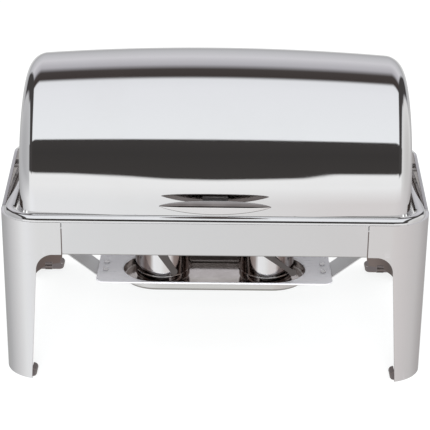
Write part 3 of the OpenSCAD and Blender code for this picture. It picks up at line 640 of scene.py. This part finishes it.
def wing_top(y):
    """Height of the side panel's upper edge at a given y."""
    rise = PIVOT_Z - RIM_Z
    corner_y = HALF_D - CORNER_R
    top_r = PANEL_HI.z - PIVOT_Z
    slope = math.atan(rise / corner_y) + math.asin(top_r / math.hypot(corner_y, rise))
    if abs(y) <= top_r * math.sin(slope):
        return PIVOT_Z + math.sqrt(top_r**2 - y * y)
    return PIVOT_Z + top_r / math.cos(slope) - abs(y) * math.tan(slope)


def build_side_panels():
    end_y = PANEL_HI.y
    low = PANEL_LO.z
    steps = 60
    for side, fx in (("right", 1), ("left", -1)):
        rows = []
        for i in range(steps + 1):
            y = -end_y + 2 * end_y * i / steps
            arch = end_y - ARCH_R
            over = abs(y) - arch
            bottom = low + ARCH_R if over <= 0 else low + math.sqrt(max(ARCH_R**2 - over**2, 0))
            top = wing_top(y)
            bend = 2 * MM
            heights = [bottom + (top - bend - bottom) * share for share in (0, 0.4, 0.8, 1)]
            column = [(HALF_W, z) for z in heights]
            column += [(HALF_W - bend + bx, top - bend + bz) for bx, bz in arc(0, 0, bend, 0, 90, 5)]
            column.append((PANEL_LO.x, top))
            rows.append([(fx * x, y, z) for x, z in column])
        panel = grid(f"{side}_side_skin", rows, Vector((0, 0, 0.2)))
        soften(thicken(panel), 0.35 * MM)
        place(panel, "frame", FRAME_STEEL, f"{side}_side_panel")


def build_top():
    outer = round_rect_loop(PLATE_HI.x, PLATE_HI.y, CORNER_R - SHEET)
    inner = round_rect_loop(RING_HI.x - BEAD_R, RING_HI.y - BEAD_R, RING_CORNER_R - BEAD_R)
    plate = grid("top_plate_skin", [at_height(outer, RIM_Z), at_height(inner, RIM_Z)], Vector((0, 0, 0)), close_cols=True)
    soften(thicken(plate), 0.3 * MM)
    place(plate, "frame", RING_STEEL, "top_plate", mirrored=False)


def build_ring():
    """Half-round bead on the top plate, a wall down its inner side and a lower plate round the lid."""
    near_pivot = [SPACER_CLEARANCE * math.sin(math.radians(a)) for a in range(-90, 91, 15)]
    marks = near_pivot + [y * MM for y in (-110, -60, -20, -9, 9, 20, 60, 110)]

    def ring_loop(inset, z):
        loop = round_rect_loop(RING_HI.x - inset, RING_HI.y - inset, RING_CORNER_R - inset, marks=marks)
        points = []
        for x, y in loop:
            saddle = PIVOT_Z - math.sqrt(SPACER_CLEARANCE**2 - y * y) if abs(y) < SPACER_CLEARANCE - 1e-6 else z
            points.append((x, y, min(z, saddle)))
        return points

    loops = []
    for a in range(0, 181, 9):
        loops.append(ring_loop(BEAD_R * (1 - math.cos(math.radians(a))), RIM_Z + BEAD_R * math.sin(math.radians(a))))
    plate_z = RING_LO.z + SHEET
    loops.append(ring_loop(2 * BEAD_R, plate_z + 0.6 * MM))
    loops.append(ring_loop(2 * BEAD_R + 0.4 * MM, plate_z))
    loops.append(at_height(bowed_loop(0, marks=marks), plate_z))
    ring = grid("lid_ring_skin", loops, Vector((0, 0, RIM_Z - 0.5)), close_cols=True)
    soften(thicken(ring), 0.3 * MM)
    place(ring, "frame", RING_STEEL, "lid_ring", mirrored=False)


def build_pivot_bolts():
    head_r, head_t = 11 * MM, 4 * MM
    dome_r = (head_r**2 + head_t**2) / (2 * head_t)
    shank_r = 4 * MM
    for side, fx in (("right", 1), ("left", -1)):
        dome = []
        for i in range(11):
            r = head_r * (1 - i / 10)
            dome.append((max(r, 1e-5), HALF_W + head_t - dome_r + math.sqrt(dome_r**2 - r * r)))
        profile = [(1e-5, BOLT_LO.x), (shank_r, BOLT_LO.x), (shank_r, HALF_W), (head_r, HALF_W)] + dome
        profile = [(r, fx * h) for r, h in profile]
        bolt = lathe(f"{side}_bolt", profile, (0, 0, PIVOT_Z), "X", 64, Vector((fx * 0.31, 0, PIVOT_Z)))
        soften(bolt, 0.3 * MM, 2, 50)
        place(bolt, "frame", HANDLE_STEEL, f"{side}_pivot_bolt")


# ---------- shelf and burners ----------


def build_shelf():
    cx, cy = (SHELF_LO.x + SHELF_HI.x) / 2, (SHELF_LO.y + SHELF_HI.y) / 2
    half_x, half_y = (SHELF_HI.x - SHELF_LO.x) / 2, (SHELF_HI.y - SHELF_LO.y) / 2
    top, floor = SHELF_HI.z, SHELF_LO.z + 1.5 * MM
    well_x, well_y = 148 * MM, 56 * MM
    bend = 3 * MM
    edge = round_rect_loop(half_x, half_y, SHELF_CORNER_R)
    hem = 1.4 * MM
    loops = [[(cx + x, cy + y, top - bend * 0.5 - (hem if abs(x) < half_x - SHELF_CORNER_R else 0.2 * MM)) for x, y in edge]]
    for a in range(0, 91, 30):
        inset = bend * 0.5 * (1 - math.cos(math.radians(a)))
        z = top - bend * 0.5 * (1 - math.sin(math.radians(a)))
        loops.append(at_height(round_rect_loop(half_x - inset, half_y - inset, SHELF_CORNER_R - inset), z, cx, cy))
    for a in range(0, 91, 18):
        out = bend * (1 - math.sin(math.radians(a)))
        z = top - bend + bend * math.cos(math.radians(a))
        loops.append(at_height(obround_loop(well_x + out, well_y + out), z, cx, cy))
    low_r = 4 * MM
    for a in range(0, 91, 18):
        inset = low_r * (1 - math.cos(math.radians(a)))
        z = floor + low_r * (1 - math.sin(math.radians(a)))
        loops.append(at_height(obround_loop(well_x - inset, well_y - inset), z, cx, cy))
    for share in (0.6, 0.25):
        loops.append(at_height(obround_loop(well_x - (1 - share) * well_y, well_y * share), floor, cx, cy))
    shelf = grid("fuel_shelf_skin", loops, Vector((cx, cy, -0.5)), close_cols=True)
    fill_last_loop(shelf)
    soften(thicken(shelf, 1.5 * MM), 0.35 * MM)
    place(shelf, "frame", SHELF_STEEL, "fuel_shelf")


def fill_last_loop(obj):
    """Closes the open loop of edges nearest the object's lowest middle."""
    bm = bmesh.new()
    bm.from_mesh(obj.data)
    open_edges = [e for e in bm.edges if e.is_boundary]
    lowest = min(max(v.co.z for v in e.verts) for e in open_edges)
    bmesh.ops.holes_fill(bm, edges=[e for e in open_edges if max(v.co.z for v in e.verts) < lowest + 1e-5])
    bmesh.ops.recalc_face_normals(bm, faces=bm.faces)
    up = sum(f.normal.z * f.calc_area() for f in bm.faces if abs(f.normal.z) > 0.5)
    if up < 0:
        bmesh.ops.reverse_faces(bm, faces=bm.faces)
    bm.to_mesh(obj.data)
    bm.free()
    obj.data.polygons.foreach_set("use_smooth", [True] * len(obj.data.polygons))


def build_holders():
    for side in ("left", "right"):
        lo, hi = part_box(f"{side}_fuel_holder")
        cx = (lo.x + hi.x) / 2
        r = (hi.x - lo.x) / 2
        cy = lo.y + r
        z, height = lo.z, hi.z - lo.z
        low_r, step_z, foot_r, wall = r - 0.8 * MM, 18 * MM, 9 * MM, 2.2 * MM
        profile = [(1e-5, 0), (low_r - foot_r, 0)]
        profile += arc(low_r - foot_r, foot_r, foot_r, -90, 0, 6)[1:]
        profile += [(low_r, step_z - 1.6 * MM), (r - 2 * MM, step_z - 0.6 * MM), (r - 2 * MM, step_z + 0.2 * MM), (r, step_z + 1.4 * MM)]
        profile += [(r, height - 1.2 * MM)] + arc(r - wall / 2, height - wall / 2, wall / 2, 0, 180, 8)
        profile += [(r - wall, foot_r + 2 * MM)] + arc(r - wall - foot_r, foot_r + 1.2 * MM, foot_r, 0, -90, 5) + [(1e-5, 1.2 * MM)]
        cup = lathe(f"{side}_cup", profile, (cx, cy, z), "Z", 96, None)
        soften(cup, 0.3 * MM, 2, 60)
        place(cup, f"{side}_burner", CUP_STEEL, f"{side}_fuel_holder")
        pin_lo, pin_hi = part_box(f"{side}_snuffer_pin")
        px, py = (pin_lo.x + pin_hi.x) / 2, (pin_lo.y + pin_hi.y) / 2
        lug_r, bore_r, low, top = 5.5 * MM, 2.6 * MM, hi.z - 14 * MM, hi.z - 0.1 * MM
        ring = [(bore_r, low), (lug_r - 0.6 * MM, low), (lug_r, low + 0.6 * MM), (lug_r, top - 0.6 * MM)]
        ring += [(lug_r - 0.6 * MM, top), (bore_r, top), (bore_r, low)]
        lug = lathe(f"{side}_pin_lug", ring, (px, py, 0), "Z", 40, None)
        soften(lug, 0.2 * MM, 2, 50)
        place(lug, f"{side}_burner", CUP_STEEL)


# ---------- pans ----------


def pan_loops(lo, hi, rim_z, rim_r, body_x, body_y, body_r, edge_r, lip):
    """Loops of a pan: turned-down or turned-up rim, flange, wall and rounded bottom edge."""
    half_x, half_y = hi.x, hi.y
    loops = []
    if lip:
        loops.append(at_height(round_rect_loop(half_x, half_y, rim_r), hi.z))
    loops.append(at_height(round_rect_loop(half_x, half_y, rim_r), rim_z + (1.2 * MM if lip else 0)))
    loops.append(at_height(round_rect_loop(half_x - 1.2 * MM, half_y - 1.2 * MM, rim_r - 1 * MM), rim_z))
    bend = 2.5 * MM
    for a in range(0, 91, 18):
        out = bend * (1 - math.sin(math.radians(a)))
        z = rim_z - bend + bend * math.cos(math.radians(a))
        loops.append(at_height(round_rect_loop(body_x + out, body_y + out, body_r + out), z))
    for a in range(0, 91, 15):
        inset = edge_r * (1 - math.cos(math.radians(a)))
        z = lo.z + 1.2 * MM + edge_r * (1 - math.sin(math.radians(a)))
        loops.append(at_height(round_rect_loop(body_x - inset, body_y - inset, body_r - inset * 0.6), z))
    for share in (0.7, 0.35):
        loops.append(at_height(round_rect_loop(body_x * share, body_y * share, body_r * share * 0.6), lo.z + 1.2 * MM))
    return loops


def build_pans():
    lo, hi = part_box("water_pan")
    loops = pan_loops(lo, hi, hi.z - 3 * MM, 32 * MM, 255.8 * MM, 153.3 * MM, 26 * MM, 11 * MM, True)
    water = grid("water_pan_skin", loops, Vector((0, 0, -1)), close_cols=True)
    fill_last_loop(water)
    soften(thicken(water), 0.3 * MM)
    place(water, "water_bath", PAN_STEEL, "water_pan", slot="pan_steel")
    lo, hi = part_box("food_pan")
    loops = pan_loops(lo, hi, hi.z, 26 * MM, 251.3 * MM, 148.8 * MM, 23 * MM, 11 * MM, False)
    food = grid("food_pan_skin", loops, Vector((0, 0, -1)), close_cols=True)
    fill_last_loop(food)
    soften(thicken(food), 0.3 * MM)
    place(food, "food_tray", PAN_STEEL, "food_pan", slot="pan_steel")


# ---------- carried-over nodes ----------

KEPT = {
    HANDLE_STEEL: "handle_mount left_snuffer_cover right_snuffer_cover",
    # seam plates take the dark foot steel as painted shade behind the seam gap
    FOOT_STEEL: "foot_plates seam_plates",
    LEVER_STEEL: "left_snuffer_lever right_snuffer_lever",
    BRACKET_STEEL: "left_pan_rail right_pan_rail front_pan_rail rear_pan_rail lid_stops "
    "left_hinge_plate right_hinge_plate",
    LEDGE_STEEL: "front_ledge",
    HANGER_STEEL: "left_shelf_hanger right_shelf_hanger",
    FASTENER_STEEL: "seam_studs pivot_spacers pivot_nuts hanger_screws hanger_nuts shelf_rivets hinge_plate_rivets "
    "handle_screws left_snuffer_pin right_snuffer_pin",
    RUBBER: "lid_buffers",
    NYLON: "pivot_washers",
}


UNMIRRORED = "front_ledge seam_plates seam_studs foot_plates".split()


def dress_kept_nodes():
    for material, names in KEPT.items():
        for name in names.split():
            node = frame["nodes"][name]
            node.data.materials.clear()
            node.data.materials.append(material)
            node.visible_glossy = name not in UNMIRRORED
            soften(node, 0.25 * MM, 2, 35)


# ---------- studio ----------

CAMERA_AT = Vector((0.0, -2.156, RIM_Z + 0.794))
CAMERA_PITCH = 21.95
CAMERA_ROLL = 0.6
CAMERA_LENS = 118.2


def world_tone(angle):
    return (angle + 180.0) / 360.0


def build_world():
    """Plain white to the camera; in reflections a large overhead softbox with dark gaps before and behind it."""
    world = bpy.data.worlds.new("studio")
    bpy.context.scene.world = world
    world.use_nodes = True
    tree = world.node_tree
    tree.nodes.clear()
    n = Nodes.__new__(Nodes)
    n.material, n.tree = world, tree
    coords = n.new("ShaderNodeTexCoord")
    axes = n.new("ShaderNodeSeparateXYZ", Vector=coords.outputs["Generated"])
    x, y, z = axes.outputs["X"], axes.outputs["Y"], axes.outputs["Z"]
    front = n.math("ARCTAN2", z, n.math("MULTIPLY", y, -1.0))
    around = n.math("ADD", n.math("DIVIDE", n.math("ARCTAN2", x, n.math("MULTIPLY", y, -1.0)), 2 * math.pi), 0.5)
    width = n.math("ABSOLUTE", x)
    across = n.math("ADD", n.math("MULTIPLY", x, 0.5), 0.5)
    bow = n.ramp(across, [
        (0.0, 0.7), (0.39, 0.7), (0.4325, 0.42), (0.461, 0.08), (0.5, 0.0), (0.539, 0.17), (0.5675, 0.34), (0.589, 1.0), (1.0, 1.0),
    ])
    near = n.ramp(n.math("DIVIDE", front, math.radians(40)), [(0.0, 0.0), (0.05, 1.0), (0.35, 1.0), (0.9, 0.0)])
    shift = n.math("MULTIPLY", n.math("MULTIPLY", bow, near), math.radians(6.2))
    turn = n.math("ADD", n.math("DIVIDE", n.math("SUBTRACT", front, shift), 2 * math.pi), 0.5)
    bands = [
        (-180, (0.60, 0.60, 0.60)), (0, (0.93, 0.93, 0.93)), (5.4, (0.95, 0.95, 0.95)), (6.2, (0.052, 0.048, 0.046)),
        (30, (0.046, 0.043, 0.042)), (43.6, (0.052, 0.048, 0.047)), (44.6, (0.92, 0.94, 0.96)), (98, (0.88, 0.89, 0.92)),
        (110.5, (0.84, 0.85, 0.88)), (114.5, (0.055, 0.046, 0.044)), (126, (0.065, 0.056, 0.054)),
        (134, (0.48, 0.47, 0.50)), (150, (0.68, 0.67, 0.70)), (166, (0.55, 0.55, 0.57)), (180, (0.42, 0.42, 0.43)),
    ]
    middle = n.ramp(turn, [(world_tone(a), tone) for a, tone in bands])
    sides = n.ramp(across, [
        (0.0, (0.46, 0.46, 0.47)), (0.08, (0.54, 0.54, 0.55)), (0.5, (0.60, 0.60, 0.60)), (0.92, (0.76, 0.755, 0.75)),
        (1.0, (0.62, 0.61, 0.60)),
    ])
    to_sides = n.ramp(width, [(0.0, 0.0), (0.74, 0.0), (0.80, 1.0), (1.0, 1.0)])
    gap = n.ramp(width, [(0.0, 0.0), (0.53, 0.0), (0.57, 1.0), (0.73, 1.0), (0.78, 0.0), (1.0, 0.0)])
    above = n.ramp(z, [(0.0, 0.0), (0.10, 0.0), (0.16, 1.0), (1.0, 1.0)])
    high = n.mix(to_sides, middle, sides)
    high = n.mix(n.math("MULTIPLY", gap, above), high, (0.06, 0.056, 0.055, 1))
    ground = [
        (-180, (0.88, 0.88, 0.88)), (-166, (0.80, 0.80, 0.80)), (-150, (0.40, 0.40, 0.40)), (-117, (0.50, 0.50, 0.51)),
        (-91, (0.66, 0.66, 0.67)), (-70, (0.79, 0.79, 0.80)), (-51, (0.91, 0.92, 0.93)), (-38, (0.92, 0.93, 0.95)),
        (-8, (0.86, 0.865, 0.87)), (0, (0.80, 0.80, 0.80)), (12, (0.75, 0.72, 0.715)), (51, (0.70, 0.67, 0.67)),
        (91, (0.63, 0.61, 0.61)), (117, (0.52, 0.50, 0.50)), (150, (0.42, 0.40, 0.40)), (166, (0.80, 0.80, 0.80)),
        (180, (0.88, 0.88, 0.88)),
    ]
    low = n.ramp(around, [(world_tone(a), tone) for a, tone in ground])
    downwards = n.math("MULTIPLY", z, -1.0)
    depth = n.ramp(downwards, [(0.0, 0.0), (0.03, 0.0), (0.30, 1.0), (1.0, 1.0)])
    steep = n.ramp(downwards, [(0.0, 0.0), (0.5, 0.0), (0.9, 1.0), (1.0, 1.0)])
    tone = n.mix(depth, high, n.mix(steep, low, (0.34, 0.33, 0.32, 1)))
    path = n.new("ShaderNodeLightPath")
    tone = n.mix(path.outputs["Is Camera Ray"], tone, (1.0, 1.0, 1.0, 1))
    light = n.mix(path.outputs["Is Diffuse Ray"], tone, (1.0, 1.0, 1.0, 1))
    background = n.new("ShaderNodeBackground", Color=light, Strength=1.0)
    n.new("ShaderNodeOutputWorld", Surface=background.outputs["Background"])


def floor_material():
    """Pale sweep: mostly its own even white, with a little shading so that the feet sit on it."""
    n = Nodes("pale_floor")
    grain = n.noise((1, 1, 1), 120.0, 4.0, 0.6)
    broad = n.noise((1, 1, 1), 1.2, 2.0, 0.5)
    base = n.mix(broad, (0.26, 0.26, 0.26, 1), (0.28, 0.28, 0.28, 1))
    roughness = n.math("ADD", n.math("MULTIPLY", grain, 0.1), 0.85)
    bump = n.new("ShaderNodeBump", Height=grain, Strength=0.05, Distance=0.0005)
    shader = n.new("ShaderNodeBsdfPrincipled", Base_Color=base, Roughness=roughness, Normal=bump.outputs["Normal"])
    shader.inputs["Emission Color"].default_value = (0.99, 1.0, 1.0, 1)
    shader.inputs["Emission Strength"].default_value = 0.76
    n.new("ShaderNodeOutputMaterial", Surface=shader.outputs["BSDF"])
    return n.material


def build_floor():
    bm = bmesh.new()
    half = 30.0
    bm.faces.new([bm.verts.new(p) for p in ((-half, -half, 0), (half, -half, 0), (half, half, 0), (-half, half, 0))])
    mesh = bpy.data.meshes.new("floor")
    bm.to_mesh(mesh)
    bm.free()
    mesh.materials.append(floor_material())
    floor = bpy.data.objects.new("floor", mesh)
    bpy.context.scene.collection.objects.link(floor)
    floor.visible_glossy = False


def soft_lamp(name, size, energy, at, turn):
    """Area lamp that lights matt surfaces only; polished ones show the world instead."""
    data = bpy.data.lights.new(name, "AREA")
    data.shape = "RECTANGLE"
    data.size, data.size_y = size, size
    data.energy = energy
    lamp = bpy.data.objects.new(name, data)
    lamp.location = at
    lamp.rotation_euler = [math.radians(a) for a in turn]
    lamp.visible_glossy = False
    bpy.context.scene.collection.objects.link(lamp)


def build_lights():
    soft_lamp("overhead_softbox", 2.4, 26, (0, -0.6, 2.6), (-13, 0, 0))
    soft_lamp("front_softbox", 1.6, 95, (0, -3.0, 1.25), (70, 0, 0))


def build_camera():
    data = bpy.data.cameras.new("camera")
    data.sensor_width = 36.0
    data.lens = CAMERA_LENS
    data.clip_end = 100
    camera = bpy.data.objects.new("camera", data)
    camera.location = CAMERA_AT
    tilt = Matrix.Rotation(math.radians(90 - CAMERA_PITCH), 3, "X")
    roll = Matrix.Rotation(math.radians(CAMERA_ROLL), 3, "Z")
    camera.rotation_euler = (tilt @ roll).to_euler()
    bpy.context.scene.collection.objects.link(camera)
    bpy.context.scene.camera = camera


def build_object():
    build_lid()
    build_handle()
    build_legs()
    build_aprons()
    build_side_panels()
    build_top()
    build_ring()
    build_pivot_bolts()
    build_shelf()
    build_holders()
    build_pans()
    dress_kept_nodes()


build_object()
build_world()
build_floor()
build_lights()
build_camera()
bpy.context.scene.view_settings.view_transform = "Standard"
